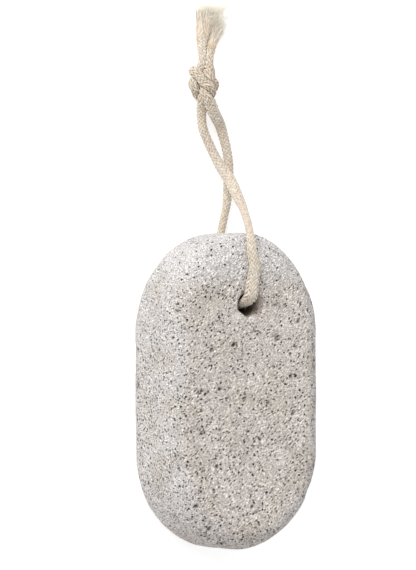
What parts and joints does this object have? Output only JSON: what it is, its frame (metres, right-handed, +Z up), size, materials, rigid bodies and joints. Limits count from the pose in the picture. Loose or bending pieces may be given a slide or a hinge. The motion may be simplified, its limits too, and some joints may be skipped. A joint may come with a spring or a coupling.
{
  "type": "pumice stone",
  "caption": "Oblong pumice stone for the bath with rounded ends and a drilled hole, threaded with a knotted plaited cotton cord.",
  "frame": {"origin": "on the surface the stone lies on, under the middle of the stone without its cord", "axes": "+Y along the stone towards its drilled end, +Z up out of its front face, +X to the right seen from above"},
  "size_m": [0.0554, 0.1723, 0.0338],
  "materials": {
    "pumice": "matte, porous",
    "cotton_cord": "plaited natural cotton"
  },
  "bodies": {
    "root": {"pumice_stone": "pumice", "cord_loop": "cotton_cord", "cord_knot": "cotton_cord", "cord_tail_left": "cotton_cord", "cord_tail_right": "cotton_cord"}
  },
  "joints": []
}
